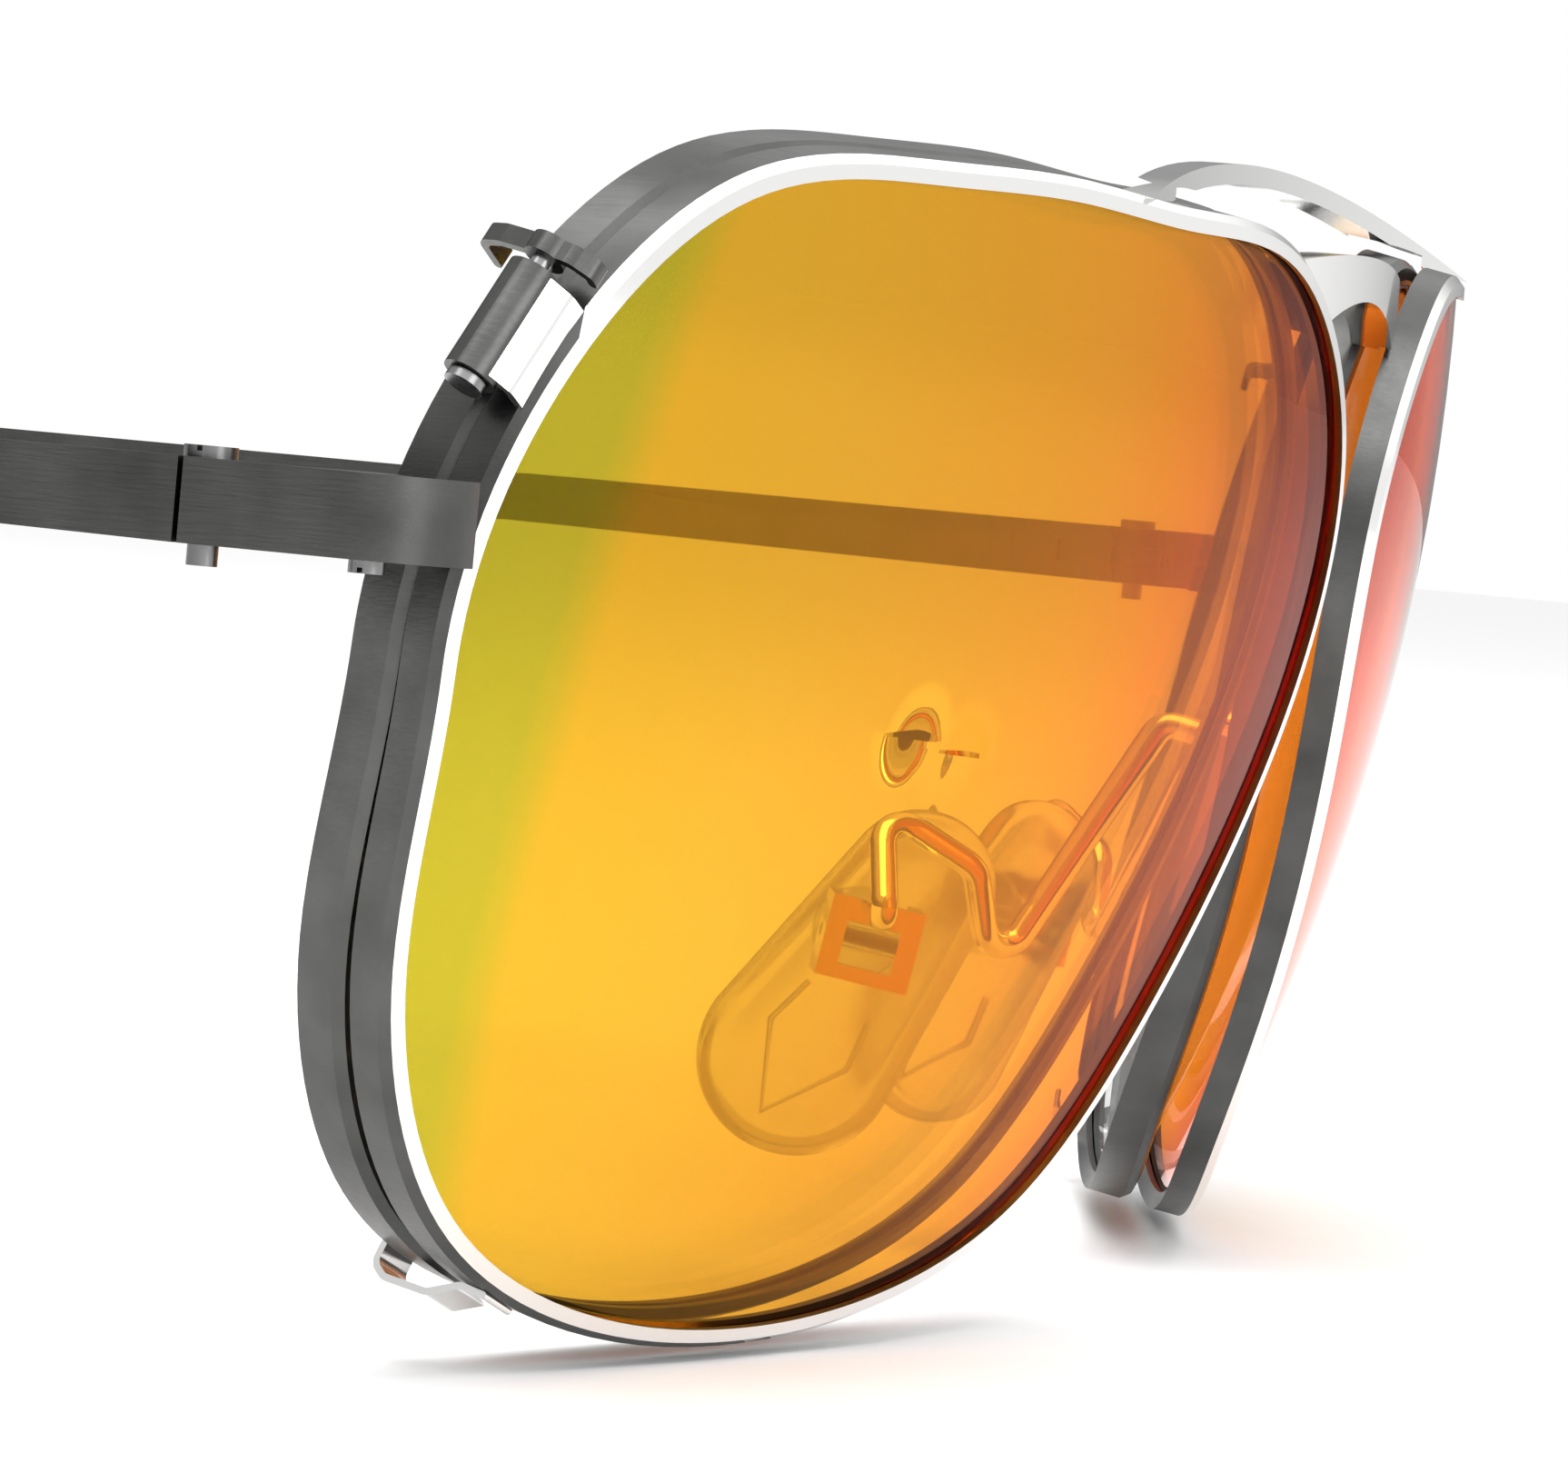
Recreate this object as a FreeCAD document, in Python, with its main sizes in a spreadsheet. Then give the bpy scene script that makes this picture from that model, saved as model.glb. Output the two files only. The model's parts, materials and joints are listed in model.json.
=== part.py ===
import FreeCAD, Part
import math
import os

# A pair of spectacles with a clip-on pair of mirror lenses held by two sprung claws and two hooks.
# Millimetres. +X is the wearer's left, +Y is rearwards, +Z is up. The origin is the nose seat, midway
# between the two nose pads. The wearer's right side is built and the left side is its mirror image.

Vec = FreeCAD.Vector
Rot = FreeCAD.Rotation
Place = FreeCAD.Placement
SIDEWAYS, REARWARDS, UP = Vec(1, 0, 0), Vec(0, 1, 0), Vec(0, 0, 1)

doc = FreeCAD.newDocument("ClipOnSpectacles")

# ---------------------------------------------------------------- driving dimensions
SIZES = [
    ("lens_half_spacing", 34.2, "middle of the face to a lens centre"),
    ("front_back", 12.0, "lens centres in front of the nose seat"),
    ("front_up", 10.5, "lens centres above the nose seat"),
    ("wrap_angle", 17.0, "each lens turned towards the temple, degrees"),
    ("tilt_angle", 11.0, "front leaning out at the top, degrees"),
    ("base_radius", 106.0, "sphere that the lenses and rims follow"),
    ("rim_width", 0.85, "rim wall across, seen from the front"),
    ("rim_bevel", 0.3, "bevel on the front outer corner of a rim"),
    ("clip_depth", 1.6, "clip rim, front to rear"),
    ("main_depth", 1.9, "main rim, front to rear"),
    ("spread_turn", 1.2, "main rim turned from the clip rim about the upright, degrees"),
    ("spread_lean", 0.87, "main rim leant back from the clip rim, degrees"),
    ("lens_bite", 0.35, "lens edge inside the rim groove"),
    ("groove_bite", 0.40, "depth of the rim groove"),
    ("lens_set", 0.35, "lens front behind the rim front"),
    ("mirror_thick", 0.9, "mirror lens thickness"),
    ("clear_thick", 1.2, "clear lens thickness"),
    ("groove_slack", 0.05, "groove wider than the lens on each face"),
    ("brow_drop", 2.9, "brow bar apex above its feet"),
    ("brow_high", 0.85, "brow bar height"),
    ("strip_thick", 1.0, "end piece and temple strip thickness"),
    ("strip_high", 2.97, "end piece and temple strip height"),
    ("strip_face", 66.1, "middle of the face to the outer face of the strip"),
    ("pivot_side", 63.5, "middle of the face to the hinge axis"),
    ("pivot_back", 7.7, "hinge axis behind the nose seat"),
    ("pivot_up", 17.84, "middle of the hinge above the nose seat"),
    ("toe_in", 2.17, "temple turned inwards when open, degrees"),
    ("curl_radius", 3.8, "front curl of the end piece, outer"),
    ("curl_back", 2.0, "centre of the front curl behind the nose seat"),
    ("knuckle_radius", 1.3, "hinge knuckle"),
    ("knuckle_high", 1.0, "middle hinge knuckle height"),
    ("knuckle_gap", 0.05, "gap between knuckles"),
    ("leaf_thick", 1.0, "hinge leaf thickness"),
    ("leaf_high", 2.8, "hinge leaf height"),
    ("hinge_screw", 0.55, "hinge screw radius"),
    ("running_gap", 0.04, "radial clearance on a turning pin"),
    ("rim_screw", 0.45, "rim screw radius"),
    ("rim_screw_head", 0.65, "rim screw head radius"),
    ("rib_thick", 0.7, "rib on the inner face of the temple"),
    ("temple_bend", 92.0, "hinge axis to the start of the ear bend"),
    ("temple_drop", 38.0, "ear bend, degrees"),
    ("tip_length", 40.0, "temple tip beyond the bend"),
    ("sleeve_thick", 2.8, "temple sleeve across"),
    ("pad_side", 9.6, "middle of the face to a nose pad centre"),
    ("pad_thick", 2.2, "nose pad thickness"),
    ("pad_lean", 33.0, "nose pad top leaning forwards, degrees"),
    ("pad_turn", 25.0, "nose pad facing rearwards, degrees"),
    ("pad_splay", 10.0, "nose pad tops closer than bottoms, degrees"),
    ("pad_pin", 0.3, "nose pad pin radius"),
    ("arm_radius", 0.55, "nose pad arm wire radius"),
    ("claw_angle", 23.0, "place of the claw barrel round the rim, degrees"),
    ("barrel_radius", 1.0, "claw barrel radius"),
    ("barrel_long", 4.5, "claw barrel length"),
    ("barrel_out", 1.4, "barrel axis outside the rim wall"),
    ("barrel_deep", 1.7, "barrel axis behind the clip rim front"),
    ("claw_pin", 0.45, "claw pin radius"),
    ("claw_thick", 0.35, "claw sheet thickness"),
    ("claw_wide", 0.75, "claw sheet width"),
    ("hook_angle", 303.0, "place of the bottom hook round the rim, degrees"),
    ("hook_thick", 0.28, "bottom hook sheet thickness"),
    ("hook_wide", 2.0, "bottom hook width"),
]
# Lens opening: distance from the lens centre to its edge, every 22.5 degrees from the temple side upwards.
OPENING = [27.8, 28.1, 26.2, 22.3, 21.3, 23.1, 29.2, 32.1, 27.5, 24.8, 24.9, 23.7, 23.5, 25.2, 27.7, 28.0]

sheet = doc.addObject("Spreadsheet::Sheet", "Sizes")
for row, (alias, value, note) in enumerate(SIZES, 1):
    sheet.set(f"A{row}", note)
    sheet.set(f"B{row}", str(value))
    sheet.setAlias(f"B{row}", alias)
for step, radius in enumerate(OPENING):
    sheet.set(f"D{step + 1}", str(radius))
    sheet.setAlias(f"D{step + 1}", f"opening_radius_{step}")
doc.recompute()


def size(alias):
    """One driving dimension, as a plain number."""
    return float(sheet.get(alias))


def move(x=0.0, y=0.0, z=0.0):
    return Place(Vec(x, y, z), Rot())


def turn(axis, degrees, about=Vec(0, 0, 0)):
    return Place(Vec(0, 0, 0), Rot(axis, degrees), about)


# ---------------------------------------------------------------- small building helpers
def make(kind, name, place=None, **sizes):
    """Adds one Part object; a size that names the sheet is bound to it as an expression."""
    thing = doc.addObject("Part::" + kind, name)
    for key, value in sizes.items():
        if isinstance(value, str) and "Sizes." in value:
            thing.setExpression(key, value)
        else:
            setattr(thing, key, value)
    if place is not None:
        thing.Placement = place
    return thing


def cut(name, base, *tools):
    """The base with every tool taken away."""
    for step, tool in enumerate(tools):
        last = step == len(tools) - 1
        base = make("Cut", name if last else f"{name}_step_{step}", Base=base, Tool=tool)
    return base


def fuse(name, *pieces):
    return make("MultiFuse", name, Shapes=list(pieces))


def block(name, place, low, high):
    """A box between two corners in the frame of the placement."""
    long, wide, tall = high[0] - low[0], high[1] - low[1], high[2] - low[2]
    return make("Box", name, place * move(*low), Length=long, Width=wide, Height=tall)


def rod(name, place, radius, length):
    """A cylinder along the Z axis of the placement, centred on its origin."""
    centred = place * move(z=-length / 2)
    return make("Cylinder", name, centred, Radius=radius, Height=length)


def bent_path(points, radius):
    """Straight runs joined by tangent arcs of one radius, as a list of curves."""
    curves = []
    start = points[0]
    for before, corner, after in zip(points, points[1:], points[2:]):
        back, ahead = (before - corner).normalize(), (after - corner).normalize()
        half = back.getAngle(ahead) / 2
        trim = min(radius / math.tan(half), 0.45 * (before - corner).Length, 0.45 * (after - corner).Length)
        inset = trim / math.cos(half)
        middle = corner + (back + ahead).normalize() * (inset - trim * math.tan(half))
        curves.append(Part.LineSegment(start, corner + back * trim))
        curves.append(Part.Arc(corner + back * trim, middle, corner + ahead * trim))
        start = corner + ahead * trim
    curves.append(Part.LineSegment(start, points[-1]))
    return curves


def strap(name, place, points, radius, thick, wide):
    """A sheet-metal strip bent along a path in the XZ plane, its width along Y, ends rounded."""
    path = doc.addObject("Sketcher::SketchObject", name + "_path")
    path.addGeometry(bent_path([Vec(x, z, 0) for x, z in points], radius), False)
    band = make("Offset2D", name + "_band", Source=path, Value=f"{thick} / 2", Mode="Pipe")
    upright = place * turn(SIDEWAYS, 90)
    return make("Extrusion", name, upright, Base=band, DirMode="Custom", Dir=Vec(0, 0, 1), Solid=True,
                LengthFwd=f"({wide}) / 2", LengthRev=f"({wide}) / 2")


def sketched_body(name, plane, curves, thick, place):
    """A PartDesign body: one closed sketch on an origin plane, padded equally to both sides."""
    body = doc.addObject("PartDesign::Body", name)
    profile = body.newObject("Sketcher::SketchObject", name + "_profile")
    base = [item for item in body.Origin.OriginFeatures if item.Role == plane][0]
    profile.AttachmentSupport = (base, "")
    profile.MapMode = "FlatFace"
    profile.addGeometry(curves, False)
    pad = body.newObject("PartDesign::Pad", name + "_pad")
    pad.Profile = profile
    pad.setExpression("Length", thick)
    pad.Midplane = True
    body.Tip = pad
    body.Placement = place
    return body


def arc_through(first, middle, last):
    return Part.Arc(Vec(*first, 0), Vec(*middle, 0), Vec(*last, 0))


def line(first, last):
    return Part.LineSegment(Vec(*first, 0), Vec(*last, 0))


# ---------------------------------------------------------------- the lens outline
def outline_curve(offset):
    """The smooth closed lens outline, moved outwards by the offset."""
    count = len(OPENING)
    points = []
    for step in range(count):
        angle, radius = 2 * math.pi * step / count, size(f"opening_radius_{step}")
        points.append(Vec(radius * math.cos(angle), radius * math.sin(angle), 0))
    curve = Part.BSplineCurve()
    curve.interpolate(Points=points, PeriodicFlag=True)
    if not offset:
        return curve
    moved = []
    for point in points:
        along = curve.tangent(curve.parameter(point))[0]
        moved.append(point + Vec(along.y, -along.x, 0) * offset)
    wider = Part.BSplineCurve()
    wider.interpolate(Points=moved, PeriodicFlag=True)
    return wider


def outline_point(degrees, offset):
    """The point of the offset outline in one direction from the lens centre, and its outward normal."""
    curve = outline_curve(offset)
    angle = math.radians(degrees)
    ray = Part.LineSegment(Vec(0, 0, 0), Vec(math.cos(angle), math.sin(angle), 0) * 60)
    hit = curve.intersect(ray)[0]
    point = Vec(hit.X, hit.Y, 0)
    along = curve.tangent(curve.parameter(point))[0]
    return point, Vec(along.y, -along.x, 0)


def outline_sketch(name, offset):
    sketch = doc.addObject("Sketcher::SketchObject", name)
    sketch.addGeometry(outline_curve(offset), False)
    return sketch


def prism(name, sketch, place=None):
    """The outline drawn out along the lens axis, well past the front and the rear of the rims."""
    return make("Extrusion", name, place, Base=sketch, DirMode="Custom", Dir=Vec(0, 0, 1), Solid=True,
                LengthFwd=14.0, LengthRev=3.0)


def dish(name, sketch, start, depth):
    """A slab of the outline between two spheres of the base radius."""
    column = prism(name + "_column", sketch)
    ball = {}
    for face, behind in (("front", start), ("rear", f"{start} + {depth}")):
        ball[face] = make("Sphere", f"{name}_{face}", Radius="Sizes.base_radius")
        ball[face].setExpression("Placement.Base.z", f"Sizes.base_radius + {behind}")
    shell = make("Common", name + "_shell", Base=column, Tool=ball["front"])
    return cut(name, shell, ball["rear"])


def front_corner(solid):
    """The number of the long closed edge round the front of a dish."""
    doc.recompute()
    edges = solid.Shape.Edges
    long_ones = [i for i, edge in enumerate(edges) if edge.Length > 100]
    return 1 + min(long_ones, key=lambda i: edges[i].CenterOfMass.z)


# ---------------------------------------------------------------- frames of the right-hand side
wrap = math.radians(size("wrap_angle"))
RIGHT_LENS = Rot(Vec(-math.cos(wrap), math.sin(wrap), 0), UP, Vec(math.sin(wrap), math.cos(wrap), 0), "XYZ")
CLIP = (move(0, -size("front_back"), size("front_up")) * turn(SIDEWAYS, size("tilt_angle"))
        * Place(Vec(-size("lens_half_spacing"), 0, 0), RIGHT_LENS))
MAIN = (CLIP * move(z=size("clip_depth")) * turn(REARWARDS, size("spread_turn"), Vec(27, 0, 0))
        * turn(SIDEWAYS, -size("spread_lean"), Vec(0, 20, 0)))
HINGE = move(-size("pivot_side"), size("pivot_back"), size("pivot_up"))
TEMPLE = HINGE * turn(UP, -size("toe_in"))
PAD = (move(-size("pad_side"), 0, 0) * turn(SIDEWAYS, size("pad_lean")) * turn(UP, size("pad_turn"))
       * turn(REARWARDS, size("pad_splay")))
CLAMP = move(-12.3, -1.3, 1.9) * turn(SIDEWAYS, 10) * turn(UP, size("pad_turn"))


def wall_frame(degrees):
    """A frame on the outer wall of the clip rim: X outwards, Y round the rim, Z rearwards from its front."""
    point, outward = outline_point(degrees, size("rim_width"))
    sag = size("base_radius") - math.sqrt(size("base_radius") ** 2 - point.Length ** 2)
    round_rim = UP.cross(outward)
    return CLIP * Place(Vec(point.x, point.y, sag), Rot(outward, round_rim, UP, "XYZ"))


nodes = []


def keep(solid, label):
    """Names a finished sub-part; its file takes the same name."""
    solid.Label = label
    nodes.append(solid)
    return solid


def keep_pair(solid, label):
    """Keeps a right-hand sub-part and its mirror image for the left."""
    keep(solid, label + "_right")
    other = make("Mirroring", label + "_mirror", Source=solid, Normal=Vec(1, 0, 0))
    keep(other, label + "_left")
    return solid


# ---------------------------------------------------------------- rims and lenses
opening = outline_sketch("opening", 0.0)
rim_edge = outline_sketch("rim_edge", size("rim_width"))
lens_edge = outline_sketch("lens_edge", size("lens_bite"))
groove_edge = outline_sketch("groove_edge", size("groove_bite"))
hole = prism("hole", opening)


def rim(name, place, depth, lens_thick):
    """A grooved ring round the lens, bevelled on its front outer corner."""
    slab = dish(name + "_slab", rim_edge, "0", f"Sizes.{depth}")
    bevel = make("Chamfer", name + "_bevel", Base=slab)
    bevel.Edges = [(front_corner(slab), size("rim_bevel"), size("rim_bevel"))]
    groove = dish(name + "_groove", groove_edge, "Sizes.lens_set - Sizes.groove_slack",
                  f"Sizes.{lens_thick} + 2 * Sizes.groove_slack")
    ring = cut(name, bevel, hole, groove)
    ring.Placement = place
    return ring


def lens(name, place, thick):
    disc = dish(name, lens_edge, "Sizes.lens_set", f"Sizes.{thick}")
    disc.Placement = place
    return disc


main_rim = keep_pair(rim("main_ring", MAIN, "main_depth", "clear_thick"), "main_rim")
keep_pair(lens("clear_disc", MAIN, "clear_thick"), "clear_lens")
clip_rim = keep_pair(rim("clip_ring", CLIP, "clip_depth", "mirror_thick"), "clip_rim")
keep_pair(lens("mirror_disc", CLIP, "mirror_thick"), "mirror_lens")
main_column = prism("main_column", rim_edge, MAIN)
clip_column = prism("clip_column", rim_edge, CLIP)
clip_column_left = make("Mirroring", "clip_column_left", Source=clip_column, Normal=SIDEWAYS)
main_column_left = make("Mirroring", "main_column_left", Source=main_column, Normal=SIDEWAYS)


def room(name, place, gap, start, depth):
    """Space kept free round a rim on both sides, so that the two fronts can part: right and left."""
    space = dish(name, outline_sketch(name + "_edge", size("rim_width") + gap), start, depth)
    space.Placement = place
    return space, make("Mirroring", name + "_left", Source=space, Normal=SIDEWAYS)


main_room = room("main_room", MAIN, 0.5, "-0.3", "3.0")
clip_room = room("clip_room", CLIP, 0.3, "-1.0", "Sizes.clip_depth + 1.3")


# ---------------------------------------------------------------- bars across the nose
def crossbar(name, front_view, top_view):
    """A bar whose front view and top view are both given: the common part of two extrusions."""
    views = []
    for view, curves, place in (("front", front_view, turn(SIDEWAYS, 90)), ("top", top_view, move())):
        sketch = doc.addObject("Sketcher::SketchObject", f"{name}_{view}")
        sketch.addGeometry(curves, False)
        views.append(make("Extrusion", f"{name}_{view}_solid", place, Base=sketch, DirMode="Custom",
                          Dir=Vec(0, 0, 1), Solid=True, LengthFwd=60.0, LengthRev=60.0))
    return make("Common", name, Base=views[0], Tool=views[1])


def band(half, end, middle, thick):
    """A curved band, symmetrical about the middle, between two arcs a set distance apart."""
    return [arc_through((-half, end), (0, middle), (half, end)),
            line((half, end), (half, end + thick)),
            arc_through((half, end + thick), (0, middle + thick), (-half, end + thick)),
            line((-half, end + thick), (-half, end))]


def brow_bar():
    """The arched bar of the clip, standing on the tops of the two clip rims."""
    foot = wall_frame(104).Base
    half, high = -foot.x + 1.0, size("brow_high")
    front = band(half, foot.z - high - 0.1, foot.z + size("brow_drop") - high, high)
    top = band(half, foot.y - 0.1, foot.y + 2.0, size("clip_depth") - 0.1)
    return cut("brow", crossbar("brow_cross", front, top), clip_column, clip_column_left, *main_room)


def nose_bridge():
    """The saddle between the main rims: deeper at its ends, where it runs into them."""
    front = [arc_through((-11.5, 30.9), (0, 32.0), (11.5, 30.9)),
             line((11.5, 30.9), (8.2, 27.6)),
             arc_through((8.2, 27.6), (0, 30.1), (-8.2, 27.6)),
             line((-8.2, 27.6), (-11.5, 30.9))]
    top = band(12.0, -16.2, -17.7, 1.8)
    return cut("saddle", crossbar("saddle_cross", front, top), main_column, main_column_left, *clip_room)


keep(brow_bar(), "brow_bar")
keep(nose_bridge(), "nose_bridge")


# ---------------------------------------------------------------- end pieces and rim screws
def end_piece():
    """A flat strip along the temple line whose front end curls inwards round the rim joint."""
    face = size("pivot_side") - size("strip_face")
    inner = face + size("strip_thick")
    reach = size("curl_radius")
    middle = (face + reach, size("curl_back") - size("pivot_back"))
    small = reach - size("strip_thick")
    slant = math.sqrt(0.5)
    curves = [line((face, -0.1), (face, middle[1])),
              arc_through((face, middle[1]), (middle[0] - reach * slant, middle[1] - reach * slant),
                          (middle[0], middle[1] - reach)),
              line((middle[0], middle[1] - reach), (middle[0], middle[1] - small)),
              arc_through((middle[0], middle[1] - small),
                          (middle[0] - small * slant, middle[1] - small * slant), (inner, middle[1])),
              line((inner, middle[1]), (inner, -0.1)),
              line((inner, -0.1), (face, -0.1))]
    return sketched_body("end_strip", "XY_Plane", curves, "Sizes.strip_high", HINGE)


def rim_joint(strip):
    """The block that joins the rim to the end piece, slit level and drilled for the rim screw."""
    half = size("strip_high") / 2
    solid = block("joint_block", HINGE, (-1.6, -6.8, -half), (5.0, -4.1, half))
    slit = block("joint_slit", HINGE, (0.4, -7.0, -0.1), (5.0, -3.9, 0.1))
    bore = rod("joint_bore", HINGE * move(1.0, -5.7), "Sizes.rim_screw", 8.0)
    return cut("rim_joint_block", solid, slit, bore, strip, main_column)


def rim_screw():
    """A cheese-head screw up through the rim joint, its slotted head below."""
    half = size("strip_high") / 2
    axis = HINGE * move(1.0, -5.7)
    shank = rod("rim_shank", axis, "Sizes.rim_screw", 2 * half)
    head = rod("rim_head", axis * move(z=-half - 0.25), "Sizes.rim_screw_head", 0.5)
    slot = block("rim_slot", axis, (-1.0, -0.1, -half - 0.6), (1.0, 0.1, -half - 0.3))
    return cut("rim_screw_solid", fuse("rim_screw_blank", shank, head), slot)


strip = keep_pair(end_piece(), "end_piece")
keep_pair(rim_joint(strip), "rim_joint")
keep_pair(rim_screw(), "rim_screw")


# ---------------------------------------------------------------- temple hinges
def knuckle(name, frame, bottom, top, side):
    """One round knuckle on the pivot with the web that ties it to its leaf, in front (-1) or behind (+1)."""
    radius, inner = size("knuckle_radius"), -1.6
    ring = make("Cylinder", name + "_ring", frame * move(z=bottom), Radius="Sizes.knuckle_radius",
                Height=top - bottom)
    ends = sorted((0.0, side * (radius + 0.2)))
    web = block(name + "_web", frame, (inner, ends[0], bottom), (0.0, ends[1], top))
    return fuse(name, ring, web)


def leaf(name, frame, bands, side, length, window):
    """A hinge leaf: a flat plate against the strip, its knuckles, the pivot bore and a square window."""
    half, radius = size("leaf_high") / 2, size("knuckle_radius")
    ends = sorted((side * (radius + 0.15), side * length))
    plate = block(name + "_plate", frame, (-1.6, ends[0], -half), (-1.6 + size("leaf_thick"), ends[1], half))
    knuckles = [knuckle(f"{name}_knuckle_{i}", frame, low, high, side) for i, (low, high) in enumerate(bands)]
    blank = fuse(name + "_blank", plate, *knuckles)
    bore = make("Cylinder", name + "_bore", frame * move(z=-3), Radius="Sizes.hinge_screw + Sizes.running_gap",
                Height=6.0)
    square = block(name + "_square", frame, (-1.2, side * window - 0.5, -0.55), (1.0, side * window + 0.5, 0.55))
    return cut(name, blank, bore, square)


def hinge_screw():
    """The pivot screw of the temple, head on top and tip standing out below."""
    shank = make("Cylinder", "pivot_shank", TEMPLE * move(z=-2.25), Radius="Sizes.hinge_screw", Height=3.7)
    head = make("Cylinder", "pivot_head", TEMPLE * move(z=1.45), Radius="Sizes.hinge_screw + 0.4", Height=0.45)
    slot = block("pivot_slot", TEMPLE, (-1.5, -0.1, 1.7), (1.5, 0.1, 2.0))
    return cut("pivot_screw", fuse("pivot_blank", shank, head), slot)


middle = size("knuckle_high") / 2
gap = middle + size("knuckle_gap")
outer = size("leaf_high") / 2
keep_pair(leaf("front_leaf", HINGE, [(-middle, middle)], -1, 3.9, 2.6), "front_hinge_leaf")
keep_pair(leaf("rear_leaf", TEMPLE, [(-outer, -gap), (gap, outer)], 1, 7.0, 4.0), "rear_hinge_leaf")
keep_pair(hinge_screw(), "hinge_screw")


# ---------------------------------------------------------------- temples
def bent_band(start, straight, bend_radius, bend, tail, above, below, tip_above, tip_below):
    """Side view of a bar along Y that bends downwards: straight run, arc, then a tail that changes height."""
    angle = math.radians(bend)
    half = angle / 2
    centre = (straight, -bend_radius)

    def on_arc(swing, out):
        reach = bend_radius + out
        return (centre[0] + reach * math.sin(swing), centre[1] + reach * math.cos(swing))

    def along_tail(out):
        base = on_arc(angle, out)
        return (base[0] + tail * math.cos(angle), base[1] - tail * math.sin(angle))

    tip_middle = on_arc(angle, (tip_above - tip_below) / 2)
    reach = tail + (tip_above + tip_below) / 2
    nose = (tip_middle[0] + reach * math.cos(angle), tip_middle[1] - reach * math.sin(angle))
    return [line((start, above[0]), (straight, above[1])),
            arc_through((straight, above[1]), on_arc(half, above[1]), on_arc(angle, above[1])),
            line(on_arc(angle, above[1]), along_tail(tip_above)),
            arc_through(along_tail(tip_above), nose, along_tail(-tip_below)),
            line(along_tail(-tip_below), on_arc(angle, -below[1])),
            arc_through(on_arc(angle, -below[1]), on_arc(half, -below[1]), (straight, -below[1])),
            line((straight, -below[1]), (start, -below[0])),
            line((start, -below[0]), (start, above[0]))]


def across(place):
    """The middle plane of the temple strip in the frame of the hinge."""
    return place * move(size("pivot_side") - size("strip_face") + size("strip_thick") / 2)


def temple():
    """The temple strip: level top edge, lower edge rising rearwards, then the ear bend."""
    half = size("strip_high") / 2
    curves = bent_band(0.0, size("temple_bend"), 18.0, size("temple_drop"), size("tip_length") - 12.0,
                       (half, half - 0.1), (half, 0.6), 0.5, 0.5)
    return sketched_body("temple_strip", "YZ_Plane", curves, "Sizes.strip_thick", across(TEMPLE))


def temple_tip(strip):
    """The moulded sleeve over the ear end of the strip."""
    curves = bent_band(size("temple_bend") - 14.0, size("temple_bend"), 18.0, size("temple_drop"),
                       size("tip_length"), (1.9, 2.1), (1.5, 1.7), 2.7, 2.7)
    blank = sketched_body("tip_blank", "YZ_Plane", curves, "Sizes.sleeve_thick", across(TEMPLE))
    doc.recompute()
    round_off = make("Fillet", "tip_rounded", Base=blank)
    round_off.Edges = [(number, 0.8, 0.8) for number in range(1, len(blank.Shape.Edges) + 1)
                       if blank.Shape.Edges[number - 1].Length > 3.0]
    return cut("tip_sleeve", round_off, strip)


def temple_rib():
    """The raised rib on the inner face of the temple, flaring into the strip at its rear end."""
    curves = [line((7.1, 0.7), (21.0, 0.7)),
              arc_through((21.0, 0.7), (26.0, 0.85), (30.0, 1.25)),
              line((30.0, 1.25), (30.0, -1.0)),
              arc_through((30.0, -1.0), (26.0, -0.8), (21.0, -0.7)),
              line((21.0, -0.7), (7.1, -0.7)),
              line((7.1, -0.7), (7.1, 0.7))]
    inner = size("pivot_side") - size("strip_face") + size("strip_thick") + size("rib_thick") / 2
    return sketched_body("rib", "YZ_Plane", curves, "Sizes.rib_thick", TEMPLE * move(inner))


strip = keep_pair(temple(), "temple")
keep_pair(temple_tip(strip), "temple_tip")
keep_pair(temple_rib(), "temple_rib")


# ---------------------------------------------------------------- nose pads
def pad_blank():
    """A soft pad, wider at the bottom than at the top, with rounded edges."""
    top, bottom = 3.1, 4.1
    high, low = 4.9, -4.0
    lean = math.asin((bottom - top) / (high - low))
    curves = [arc_through((top * math.cos(lean), high + top * math.sin(lean)), (0, high + top),
                          (-top * math.cos(lean), high + top * math.sin(lean))),
              line((-top * math.cos(lean), high + top * math.sin(lean)),
                   (-bottom * math.cos(lean), low + bottom * math.sin(lean))),
              arc_through((-bottom * math.cos(lean), low + bottom * math.sin(lean)), (0, low - bottom),
                          (bottom * math.cos(lean), low + bottom * math.sin(lean))),
              line((bottom * math.cos(lean), low + bottom * math.sin(lean)),
                   (top * math.cos(lean), high + top * math.sin(lean)))]
    blank = sketched_body("pad_blank", "YZ_Plane", curves, "Sizes.pad_thick", PAD)
    doc.recompute()
    soft = make("Fillet", "pad_rounded", Base=blank)
    soft.Edges = [(number, 0.8, 0.8) for number in range(1, len(blank.Shape.Edges) + 1)
                  if blank.Shape.Edges[number - 1].Length > 3.0]
    return soft


def pad_insert():
    """The stiff disc set into the back of the pad, with the tongue that the pad rocks on."""
    back = -size("pad_thick") / 2
    pin = PAD.inverse() * CLAMP.Base
    disc = make("Cylinder", "insert_disc", PAD * move(back, pin.y, pin.z) * turn(REARWARDS, 90),
                Radius=1.9, Height=0.45)
    reach = back + 0.2 - pin.x
    eye = rod("insert_eye", CLAMP * turn(SIDEWAYS, 90), 0.6, 2.6)
    neck = block("insert_neck", CLAMP, (0.0, -1.3, -0.6), (reach, 1.3, 0.6))
    bore = rod("insert_bore", CLAMP * turn(SIDEWAYS, 90), "Sizes.pad_pin + Sizes.running_gap", 4.0)
    return cut("insert", fuse("insert_blank", disc, eye, neck), bore)


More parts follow.
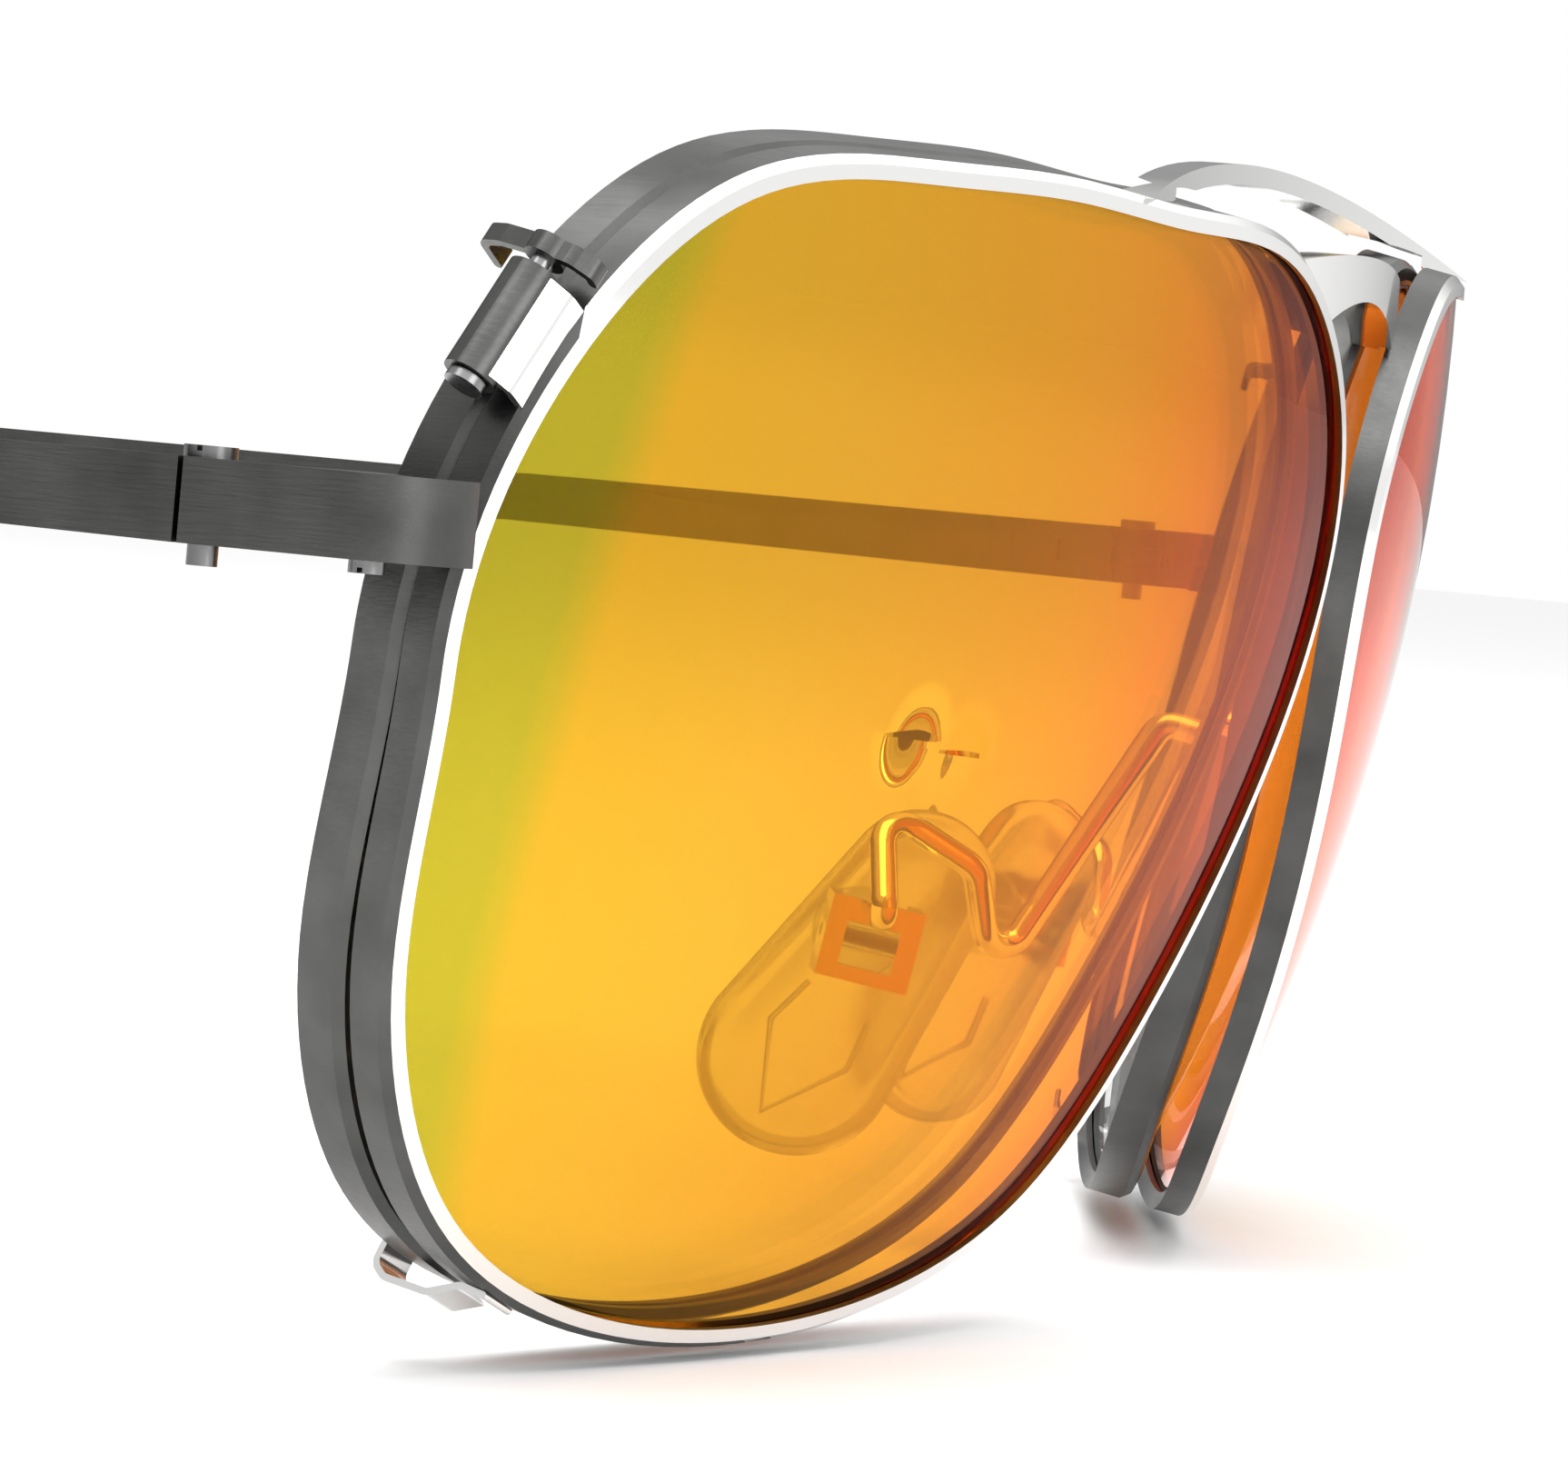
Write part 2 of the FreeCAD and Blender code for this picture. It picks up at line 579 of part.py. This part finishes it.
def pad_clamp():
    """The little open box at the end of the pad arm whose cheeks hold the pad pin."""
    shell = block("clamp_shell", CLAMP, (-1.2, -1.9, -1.7), (0.6, 1.9, 1.7))
    inside = block("clamp_inside", CLAMP, (-0.8, -1.4, -2.0), (1.0, 1.4, 2.0))
    window = block("clamp_window", CLAMP, (-1.5, -1.1, -1.1), (-0.5, 1.1, 0.75))
    bore = rod("clamp_bore", CLAMP * turn(SIDEWAYS, 90), "Sizes.pad_pin", 6.0)
    return cut("clamp", shell, inside, window, bore)


def pad_arm():
    """The bent wire from the rear of the main rim, down, back up in a loop, to the pad clamp."""
    root, outward = outline_point(178, size("rim_width") / 2)
    ball = size("base_radius")
    rise = math.sqrt(ball ** 2 - root.Length ** 2)
    start = MAIN * Vec(root.x, root.y, ball - rise + size("main_depth"))
    off_rim = MAIN.Rotation * Vec(-root.x / ball, -root.y / ball, rise / ball)
    points = [start, start + off_rim * 1.4, Vec(-8.0, -5.4, 0.6), Vec(-10.2, -5.0, 5.2),
              Vec(-12.6, -1.6, 7.4), CLAMP * Vec(-3.2, 0.0, 1.3), CLAMP * Vec(-1.2, 0.0, 1.3)]
    path = Part.Wire([curve.toShape() for curve in bent_path(points, 1.3)])
    ring = Part.Wire(Part.makeCircle(size("arm_radius"), start, off_rim))
    wire = doc.addObject("Part::Feature", "arm_wire")
    wire.Shape = path.makePipeShell([ring], True, True)
    return wire


insert = keep_pair(pad_insert(), "pad_insert")
keep_pair(cut("soft_pad", pad_blank(), insert), "nose_pad")
keep_pair(pad_clamp(), "pad_clamp")
keep_pair(rod("pad_axle", CLAMP * turn(SIDEWAYS, 90), "Sizes.pad_pin", 3.8), "pad_pin")
keep_pair(pad_arm(), "pad_arm")

# ---------------------------------------------------------------- claws and hooks of the clip
CLAW = wall_frame(size("claw_angle"))
BARREL = CLAW * move(size("barrel_out"), 0, size("barrel_deep")) * turn(SIDEWAYS, -90)


def claw_barrel():
    """The round spring housing that the claw pin turns in."""
    tube = rod("barrel_tube", BARREL, "Sizes.barrel_radius", size("barrel_long"))
    bore = rod("barrel_bore", BARREL, "Sizes.claw_pin + Sizes.running_gap", 10.0)
    return cut("barrel", tube, bore)


def claw_bracket():
    """The plate that carries the barrel off the outer wall of the clip rim."""
    points = [(-0.3, 0.35), (0.7, 0.35), (1.5, 0.8), (2.2, 1.5)]
    plate = strap("bracket_plate", CLAW, points, 0.5, "Sizes.claw_thick", "Sizes.barrel_long - 0.3")
    solid = rod("bracket_room", BARREL, "Sizes.barrel_radius", 10.0)
    return cut("bracket", plate, clip_column, solid)


def claw():
    """A sprung rocker of sheet metal: a long finger hooks behind the main rim, a short one is pressed."""
    out, deep = size("barrel_out"), size("barrel_deep")
    frame = CLAW * move(y=size("barrel_long") / 2 + 0.95)
    rear = strap("claw_rear", frame, [(out + 0.3, deep), (out + 0.25, 3.6), (out - 0.1, 4.6), (-0.15, 4.65)], 0.6,
                 "Sizes.claw_thick", "Sizes.claw_wide")
    front = strap("claw_front", frame, [(out + 0.3, deep), (out + 0.2, 0.5), (0.95, -0.15), (0.6, -0.1)], 0.5,
                  "Sizes.claw_thick", "Sizes.claw_wide")
    collar = rod("claw_collar", frame * move(out, 0, deep) * turn(SIDEWAYS, 90), 0.8, size("claw_wide"))
    bore = rod("claw_bore", frame * move(out, 0, deep) * turn(SIDEWAYS, 90), "Sizes.claw_pin", 3.0)
    return cut("claw_solid", fuse("claw_blank", rear, front, collar), bore)


def claw_pin():
    """The pin through the barrel, headed at its lower end, fixed in the claw at its upper end."""
    length = size("barrel_long")
    shank = make("Cylinder", "claw_shank", BARREL * move(z=-length / 2 - 0.1), Radius="Sizes.claw_pin",
                 Height=length + 0.1 + 1.4)
    head = make("Cylinder", "claw_head", BARREL * move(z=-length / 2 - 0.4), Radius="Sizes.barrel_radius - 0.25",
                Height=0.35)
    return fuse("claw_axle", shank, head)


def bottom_hook():
    """A fixed hook on the lower clip rim that reaches behind the main rim."""
    points = [(0.14, 0.35), (0.14, 1.45), (0.85, 2.7), (0.95, 4.7), (0.6, 5.35), (-0.2, 5.35)]
    return cut("hook", strap("hook_strap", wall_frame(size("hook_angle")), points, 0.5, "Sizes.hook_thick",
                             "Sizes.hook_wide"), clip_solid)


clip_solid = dish("clip_solid", rim_edge, "0", "Sizes.clip_depth")
clip_solid.Placement = CLIP
keep_pair(claw_barrel(), "claw_barrel")
keep_pair(claw_bracket(), "claw_bracket")
keep_pair(claw(), "claw")
keep_pair(claw_pin(), "claw_pin")
keep_pair(bottom_hook(), "bottom_hook")

# ---------------------------------------------------------------- check and write
doc.recompute()
for thing in doc.Objects:
    if "Invalid" in thing.State or "Error" in thing.State:
        raise RuntimeError(f"{thing.Name} failed: {thing.State}")
for node in nodes:
    if node.Shape.isNull() or not node.Shape.isValid():
        raise RuntimeError(f"{node.Label} has no valid shape")
os.makedirs("parts", exist_ok=True)
for node in nodes:
    node.Shape.exportStep(f"parts/{node.Label}.step")
    box = node.Shape.BoundBox
    print(f"{node.Label:24s} {node.Shape.Volume:9.3f} mm3  {len(node.Shape.Solids)} solid  "
          f"x {box.XMin:.1f}..{box.XMax:.1f}  y {box.YMin:.1f}..{box.YMax:.1f}  z {box.ZMin:.1f}..{box.ZMax:.1f}")
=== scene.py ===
# %% [markdown]
# # Spectacles with a clip-on pair of mirror lenses
# The CAD model gives every piece its shape, its size and its joints. This script gives the pieces their
# finish: brushed dark metal, polished metal, amber mirror lenses, clear lenses and soft clear nose pads.
# It then sets a pale floor, soft studio lights and a camera close to the wearer's right side.

# %% Load the model
import bpy
import json
import math
from mathutils import Matrix, Vector


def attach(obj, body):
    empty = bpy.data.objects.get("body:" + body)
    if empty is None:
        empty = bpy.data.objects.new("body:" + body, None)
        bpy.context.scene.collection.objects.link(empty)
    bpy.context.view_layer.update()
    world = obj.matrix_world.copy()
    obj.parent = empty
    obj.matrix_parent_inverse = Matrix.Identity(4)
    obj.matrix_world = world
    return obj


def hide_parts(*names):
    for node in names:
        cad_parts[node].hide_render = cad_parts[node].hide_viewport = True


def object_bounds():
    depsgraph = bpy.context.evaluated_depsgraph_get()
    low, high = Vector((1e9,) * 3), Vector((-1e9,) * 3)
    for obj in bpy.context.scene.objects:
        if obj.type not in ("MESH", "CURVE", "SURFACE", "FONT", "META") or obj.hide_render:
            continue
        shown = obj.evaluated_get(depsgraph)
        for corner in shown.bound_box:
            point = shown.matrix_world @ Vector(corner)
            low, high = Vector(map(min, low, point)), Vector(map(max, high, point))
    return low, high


MM = 0.001
SIDES = ("right", "left")
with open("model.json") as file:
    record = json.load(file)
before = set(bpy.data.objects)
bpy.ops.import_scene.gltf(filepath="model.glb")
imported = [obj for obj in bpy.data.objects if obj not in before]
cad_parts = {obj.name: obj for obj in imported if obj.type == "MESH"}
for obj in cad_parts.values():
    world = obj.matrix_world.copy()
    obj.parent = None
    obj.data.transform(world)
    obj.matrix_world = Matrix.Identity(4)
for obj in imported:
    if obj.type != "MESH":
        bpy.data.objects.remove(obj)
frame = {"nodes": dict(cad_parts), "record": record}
cad_low, cad_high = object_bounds()
nodes = frame["nodes"]
slots = {part["node"]: part["material_slot"] for part in frame["record"]["subparts"]}
print("pieces from the CAD model:", len(nodes))
print("CAD box in millimetres:", [round((b - a) / MM, 1) for a, b in zip(cad_low, cad_high)])

# %% [markdown]
# ## Helpers for shader nodes
# A small set of functions keeps each material short.

# %% Node helpers
def node(tree, kind, **values):
    """Adds a shader node; plain names are settings, and `inputs` fills sockets by name or number."""
    made = tree.nodes.new(kind)
    for socket, value in values.pop("inputs", {}).items():
        if isinstance(value, bpy.types.NodeSocket):
            tree.links.new(value, made.inputs[socket])
        else:
            made.inputs[socket].default_value = value
    for name, value in values.items():
        setattr(made, name, value)
    return made


def math_node(tree, operation, first, second=0.0):
    return node(tree, "ShaderNodeMath", operation=operation, inputs={0: first, 1: second}).outputs[0]


def squared(tree, value):
    return math_node(tree, "MULTIPLY", value, value)


def rise(tree, value, start, end):
    """A value that goes from 0 to 1 while the given one goes from start to end."""
    return node(tree, "ShaderNodeMapRange", inputs={0: value, 1: start, 2: end}).outputs[0]


def mixed(tree, share, first, second, **settings):
    """The first colour, turning into the second one as the share goes from 0 to 1."""
    made = node(tree, "ShaderNodeMix", data_type="RGBA", inputs={0: share, 6: first, 7: second}, **settings)
    return made.outputs[2]


def ramp(tree, factor, stops):
    """A colour ramp through (position, colour) stops."""
    made = node(tree, "ShaderNodeValToRGB", inputs={0: factor})
    while len(made.color_ramp.elements) < len(stops):
        made.color_ramp.elements.new(0.5)
    for element, (position, colour) in zip(made.color_ramp.elements, stops):
        element.position = position
        element.color = (*colour, 1.0)
    return made.outputs[0]


def grey(level):
    return (level, level, level)


def material(name, **values):
    """A new material with one Principled surface; returns the material, its tree and the surface."""
    made = bpy.data.materials.new(name)
    made.use_nodes = True
    surface = made.node_tree.nodes["Principled BSDF"]
    for socket, value in values.items():
        surface.inputs[socket.replace("_", " ")].default_value = value
    return made, made.node_tree, surface


# %% [markdown]
# ## Shared effects
# *Fine brushing* is noise stretched along the temples: it makes the dull grain of the dark metal.
# *Handling marks* is a slow, faint cloud that keeps polished metal and plastic from looking too perfect.
# Each is a node group that several materials share. It gives only a value, and the surface itself stays in
# the material.

# %% Shared effects
def effect(name, output):
    """An empty node group with one output value; returns it, its output node and object coordinates."""
    group = bpy.data.node_groups.new(name, "ShaderNodeTree")
    group.interface.new_socket(output, in_out="OUTPUT", socket_type="NodeSocketFloat")
    return group, node(group, "NodeGroupOutput"), node(group, "ShaderNodeTexCoord").outputs["Object"]


def fine_brushing():
    group, out, place = effect("fine brushing", "Height")
    stretched = node(group, "ShaderNodeMapping", inputs={0: place, "Scale": (9000, 500, 9000)}).outputs[0]
    noise = {"Vector": stretched, "Scale": 1.0, "Detail": 3.0}
    grain = node(group, "ShaderNodeTexNoise", inputs=noise).outputs[0]
    group.links.new(grain, out.inputs["Height"])
    return group


def handling_marks():
    group, out, place = effect("handling marks", "Cloud")
    noise = {"Vector": place, "Scale": 260.0, "Detail": 4.0}
    cloud = node(group, "ShaderNodeTexNoise", inputs=noise).outputs[0]
    group.links.new(cloud, out.inputs["Cloud"])
    return group


BRUSHING = fine_brushing()
MARKS = handling_marks()


def brushing(tree):
    return node(tree, "ShaderNodeGroup", node_tree=BRUSHING).outputs["Height"]


def marks(tree):
    return node(tree, "ShaderNodeGroup", node_tree=MARKS).outputs["Cloud"]


def uneven_gloss(tree, surface, pattern, smooth, rough):
    """Lets the roughness wander between two values with the pattern."""
    value = node(tree, "ShaderNodeMapRange", inputs={0: pattern, 3: smooth, 4: rough}).outputs[0]
    tree.links.new(value, surface.inputs["Roughness"])


print("shared effects:", BRUSHING.name, "and", MARKS.name)

# %% [markdown]
# ## Materials
# Each finish is one short function. The mirror coat has the most to say: its colour goes from red-orange at
# the nose through gold to a green-gold zone by the temple, and it turns deep red where it is seen edge on.

# %% Materials
NOSE_EDGE, TEMPLE_EDGE = 4 * MM, 60 * MM
GREEN_HEIGHT = 12 * MM
GREEN_START, GREEN_FULL = 54 * MM, 55.2 * MM
GREEN_GOLD = (0.50, 0.42, 0.028, 1)
EDGE_ON_RED = (0.95, 0.018, 0.001, 1)


def brushed_gunmetal():
    made, tree, surface = material("brushed gunmetal", Metallic=1.0)
    grain = brushing(tree)
    tree.links.new(ramp(tree, marks(tree), [(0.3, (0.065, 0.065, 0.063)), (0.7, (0.10, 0.10, 0.097))]),
                   surface.inputs["Base Color"])
    uneven_gloss(tree, surface, grain, 0.24, 0.42)
    relief = {"Height": grain, "Strength": 0.12, "Distance": 0.04 * MM}
    tree.links.new(node(tree, "ShaderNodeBump", inputs=relief).outputs[0], surface.inputs["Normal"])
    return made


def polished_steel():
    made, tree, surface = material("polished steel", Metallic=1.0, Base_Color=(0.86, 0.855, 0.84, 1))
    uneven_gloss(tree, surface, marks(tree), 0.05, 0.14)
    return made


def screw_steel():
    made, tree, surface = material("screw steel", Metallic=1.0, Base_Color=(0.22, 0.22, 0.22, 1))
    uneven_gloss(tree, surface, marks(tree), 0.18, 0.32)
    return made


def temple_zone(tree, side, height):
    """1 beyond a wide arc near the temple edge of the lens and 0 on its nose side."""
    from_middle = math_node(tree, "SUBTRACT", height, GREEN_HEIGHT)
    reach = math_node(tree, "SQRT", math_node(tree, "ADD", squared(tree, side), squared(tree, from_middle)))
    return rise(tree, reach, GREEN_START, GREEN_FULL)


def mirror_coating():
    """Amber plastic with a mirror coat."""
    made, tree, surface = material("amber mirror lens", Metallic=0.10, Roughness=0.015, IOR=1.12,
                                   Transmission_Weight=1.0, Specular_Tint=(1.0, 0.35, 0.05, 1.0))
    place = node(tree, "ShaderNodeTexCoord").outputs["Object"]
    across = node(tree, "ShaderNodeSeparateXYZ", inputs={0: place}).outputs
    side = math_node(tree, "ABSOLUTE", across["X"])
    amber = ramp(tree, rise(tree, side, NOSE_EDGE, TEMPLE_EDGE),
                 [(0.0, (0.84, 0.16, 0.006)), (0.18, (0.83, 0.24, 0.012)), (0.42, (0.78, 0.35, 0.028)),
                  (0.75, (0.74, 0.41, 0.032)), (1.0, (0.72, 0.43, 0.025))])
    colour = mixed(tree, temple_zone(tree, side, across["Z"]), amber, GREEN_GOLD)
    glance = node(tree, "ShaderNodeLayerWeight", inputs={0: 0.5}).outputs["Facing"]
    coat = mixed(tree, rise(tree, glance, 0.60, 0.90), colour, EDGE_ON_RED)
    tree.links.new(coat, surface.inputs["Base Color"])
    return made


def clear_plastic():
    return material("clear lens plastic", Roughness=0.01, IOR=1.5, Transmission_Weight=1.0,
                    Base_Color=(0.97, 0.975, 0.96, 1))[0]


def soft_silicone():
    made, tree, surface = material("clear silicone", IOR=1.41, Transmission_Weight=0.88,
                                   Base_Color=(0.93, 0.95, 0.95, 1))
    uneven_gloss(tree, surface, marks(tree), 0.12, 0.26)
    return made


def tip_plastic():
    made, tree, surface = material("dark tip plastic", IOR=1.49, Base_Color=(0.018, 0.018, 0.02, 1))
    uneven_gloss(tree, surface, marks(tree), 0.22, 0.36)
    return made


FINISHES = {
    "gunmetal": brushed_gunmetal(),
    "polished_steel": polished_steel(),
    "screw_steel": screw_steel(),
    "mirror_plastic": mirror_coating(),
    "clear_plastic": clear_plastic(),
    "silicone": soft_silicone(),
    "tip_plastic": tip_plastic(),
}
FRONT_SLOPE = -0.45


def polish_front(piece):
    """Polishes the faces of a clip rim that lean forwards past the slope; its walls stay dark."""
    piece.data.materials.append(FINISHES["polished_steel"])
    for face in piece.data.polygons:
        if face.normal.y < FRONT_SLOPE:
            face.material_index = 1


for name, piece in nodes.items():
    piece.data.materials.clear()
    piece.data.materials.append(FINISHES[slots[name]])
for side in SIDES:
    polish_front(nodes["clip_rim_" + side])
print("finishes:", ", ".join(sorted(FINISHES)))

# %% [markdown]
# ## Soft nose pads
# A real pad is moulded in clear silicone: a teardrop cushion, crowned where it meets the nose, with a raised
# lip round its back and a V-shaped rib that stiffens the hollow. Rings of points of the teardrop, each one
# set in by more or less and lifted along the thickness, describe the whole skin. Sizes are in millimetres.

# %% Soft nose pads
PAD_RINGS = [(2.75, -0.62), (2.3, -0.66), (1.35, -0.70), (1.0, -0.98), (0.65, -1.08), (0.3, -0.98),
             (0.08, -0.7), (0.0, -0.2), (0.06, 0.3), (0.3, 0.68), (0.8, 0.92), (1.5, 1.04), (2.4, 1.09)]
RING_POINTS = 72
TOP_RADIUS, BOTTOM_RADIUS = 3.1, 4.1
TOP_CENTRE, BOTTOM_CENTRE = 4.9, -4.0
RIB_RADIUS, RIB_DEPTH = 0.13, -0.66
RIB_CORNERS = [(-1.5, -1.0), (-1.9, -3.2), (0.0, -6.6), (1.9, -3.2), (1.5, -1.0)]
PAD_PLACE = (Matrix.Translation((-9.6 * MM, 0, 0)) @ Matrix.Rotation(math.radians(33), 4, "X")
             @ Matrix.Rotation(math.radians(25), 4, "Z") @ Matrix.Rotation(math.radians(10), 4, "Y"))
MIRROR = Matrix.Scale(-1, 4, Vector((1, 0, 0)))


def pad_place(side):
    return PAD_PLACE if side == "right" else MIRROR @ PAD_PLACE


def teardrop(inset):
    """Points of the teardrop: a small circle above a larger one and the straight sides between them."""
    outline = []
    for step in range(RING_POINTS):
        angle = 2 * math.pi * step / RING_POINTS
        upper = math.sin(angle) * (TOP_CENTRE - BOTTOM_CENTRE) > BOTTOM_RADIUS - TOP_RADIUS
        centre, radius = (TOP_CENTRE, TOP_RADIUS) if upper else (BOTTOM_CENTRE, BOTTOM_RADIUS)
        outline.append(((radius - inset) * math.cos(angle), centre + (radius - inset) * math.sin(angle)))
    return outline


def linked(name, mesh, finish, side):
    """Puts a new piece of one pad into the scene, in place, riding on the pad's CAD body."""
    made = bpy.data.objects.new(name, mesh)
    bpy.context.scene.collection.objects.link(made)
    place = pad_place(side)
    mesh.transform(place)
    if place.determinant() < 0:
        mesh.flip_normals()
    mesh.materials.append(FINISHES[finish])
    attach(made, "soft_pad_" + side)
    return made


def silicone_pad(side):
    """The skin of the pad: a band of faces between each ring and the next, and a cap at each end."""
    points = [(lift * MM, y * MM, z * MM) for inset, lift in PAD_RINGS for y, z in teardrop(inset)]
    faces = []
    for ring in range(len(PAD_RINGS) - 1):
        low, high = ring * RING_POINTS, (ring + 1) * RING_POINTS
        for step in range(RING_POINTS):
            after = (step + 1) % RING_POINTS
            faces.append((low + step, low + after, high + after, high + step))
    faces.append(tuple(range(RING_POINTS))[::-1])
    faces.append(tuple(range(len(points) - RING_POINTS, len(points))))
    mesh = bpy.data.meshes.new("pad skin " + side)
    mesh.from_pydata(points, [], faces)
    mesh.shade_smooth()
    pad = linked("silicone_pad_" + side, mesh, "silicone", side)
    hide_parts("nose_pad_" + side)
    return pad


def stiffening_rib(side):
    """The V-shaped rib in the hollow of the pad, drawn as one thin bent rod and turned into a mesh."""
    curve = bpy.data.curves.new("rib line", "CURVE")
    curve.dimensions = "3D"
    curve.bevel_depth = RIB_RADIUS * MM
    spline = curve.splines.new("POLY")
    spline.points.add(len(RIB_CORNERS) - 1)
    for point, (y, z) in zip(spline.points, RIB_CORNERS):
        point.co = (RIB_DEPTH * MM, y * MM, z * MM, 1)
    line = bpy.data.objects.new("rib line", curve)
    mesh = bpy.data.meshes.new_from_object(line)
    bpy.data.objects.remove(line)
    mesh.materials.clear()
    mesh.shade_smooth()
    return linked("pad_rib_" + side, mesh, "silicone", side)


for side in SIDES:
    pad = silicone_pad(side)
    stiffening_rib(side)
    print(pad.name, "points", len(pad.data.vertices))

# %% [markdown]
# ## Softened edges
# Sheet metal and plastic never end in a knife edge, so the small solids get a bevel. The rims go without
# one, because the bright line between their polished front and their dark wall is a crisp one.

# %% Softened edges
BEVELS = {"gunmetal": 0.07, "polished_steel": 0.05, "screw_steel": 0.04, "tip_plastic": 0.2}
BEVEL_FROM = math.radians(40)


def soften(piece, width):
    bevel = piece.modifiers.new("soft edge", "BEVEL")
    bevel.width = width * MM
    bevel.segments = 2
    bevel.angle_limit = BEVEL_FROM
    bevel.harden_normals = True


for name, piece in nodes.items():
    if slots[name] in BEVELS and "rim_right" not in name and "rim_left" not in name:
        soften(piece, BEVELS[slots[name]])
print("pieces with softened edges:", sum(1 for piece in nodes.values() if piece.modifiers))

# %% [markdown]
# ## Floor, lights and camera
# The floor touches the temple tips, and the rims end half a millimetre above it. The world is white to the
# eye and through the lenses; reflections see a bright front and top and a dark rear. Two big soft lights
# give the polished metal long, clean reflections.

# %% Floor
FLOOR_SIZE, FLOOR_GAP = 8, 0.05 * MM


def floor():
    bpy.ops.mesh.primitive_plane_add(size=FLOOR_SIZE, location=(0, 0, cad_low[2] - FLOOR_GAP))
    made = bpy.context.object
    made.name = "floor"
    pale, tree, surface = material("pale floor", Roughness=0.6)
    tree.links.new(ramp(tree, marks(tree), [(0.0, grey(0.90)), (1.0, grey(0.93))]),
                   surface.inputs["Base Color"])
    made.data.materials.append(pale)
    return made


ground = floor()
print("floor at", round(ground.location.z / MM, 2), "mm")


# %% Lights
def soft_light(name, place, size, power):
    """A rectangular light that shines at the middle of the spectacles."""
    lamp = bpy.data.lights.new(name, "AREA")
    lamp.shape = "RECTANGLE"
    lamp.size, lamp.size_y = size
    lamp.energy = power
    made = bpy.data.objects.new(name, lamp)
    bpy.context.scene.collection.objects.link(made)
    made.location = place
    made.rotation_euler = (-Vector(place)).to_track_quat("-Z", "Y").to_euler()
    return made


def studio_world():
    world = bpy.data.worlds.new("studio")
    world.use_nodes = True
    tree = world.node_tree
    ray = node(tree, "ShaderNodeLightPath").outputs
    direction = node(tree, "ShaderNodeTexCoord").outputs["Generated"]
    way = node(tree, "ShaderNodeSeparateXYZ", inputs={0: direction}).outputs
    forwards = ramp(tree, rise(tree, way["Y"], 0.9, -0.7),
                    [(0.0, (0.06, 0.06, 0.062)), (0.45, grey(0.35)), (0.9, grey(1.0))])
    overhead = ramp(tree, way["Z"], [(0.25, grey(0.0)), (0.55, grey(1.0))])
    seen = mixed(tree, 0.8, forwards, overhead, blend_type="ADD")
    through = math_node(tree, "SUBTRACT", 1.0, ray["Is Transmission Ray"])
    mirrored = math_node(tree, "MULTIPLY", ray["Is Glossy Ray"], through)
    tree.links.new(mixed(tree, mirrored, (1, 1, 1, 1), seen), tree.nodes["Background"].inputs[0])
    bpy.context.scene.world = world


studio_world()
lights = [soft_light("overhead", (-0.2, 0.0, 0.9), (0.9, 0.9), 10.0),
          soft_light("front side", (-0.5, -0.9, 0.35), (0.5, 0.6), 3.0)]
print("lights:", ", ".join(light.name for light in lights))

# %% Camera
AZIMUTH, ELEVATION, ROLL = math.radians(-72.96), math.radians(2.06), math.radians(5.25)
AIM = Vector((-47, -12, 11.77)) * MM
DISTANCE = 240.5 * MM
FOCAL_LENGTH, SENSOR = 153.4, 36.0
SHIFT = (-0.0585, -0.0051)


def close_camera():
    """The camera looks at the wearer's right lens from close by, with a slight roll."""
    back = Vector((math.sin(AZIMUTH) * math.cos(ELEVATION), -math.cos(AZIMUTH) * math.cos(ELEVATION),
                   math.sin(ELEVATION)))
    level = (-back).cross(Vector((0, 0, 1))).normalized()
    upright = level.cross(-back)
    right = level * math.cos(ROLL) + upright * math.sin(ROLL)
    top = upright * math.cos(ROLL) - level * math.sin(ROLL)
    optics = bpy.data.cameras.new("camera")
    optics.sensor_width = SENSOR
    optics.lens = FOCAL_LENGTH
    optics.shift_x, optics.shift_y = SHIFT
    optics.clip_start = 10 * MM
    camera = bpy.data.objects.new("camera", optics)
    bpy.context.scene.collection.objects.link(camera)
    turned = Matrix((right, top, back)).transposed().to_4x4()
    camera.matrix_world = Matrix.Translation(AIM + back * DISTANCE) @ turned
    return camera


camera = close_camera()
bpy.context.scene.camera = camera
bpy.context.scene.view_settings.view_transform = "Standard"
print("camera", [round(value / MM) for value in camera.location], "mm")
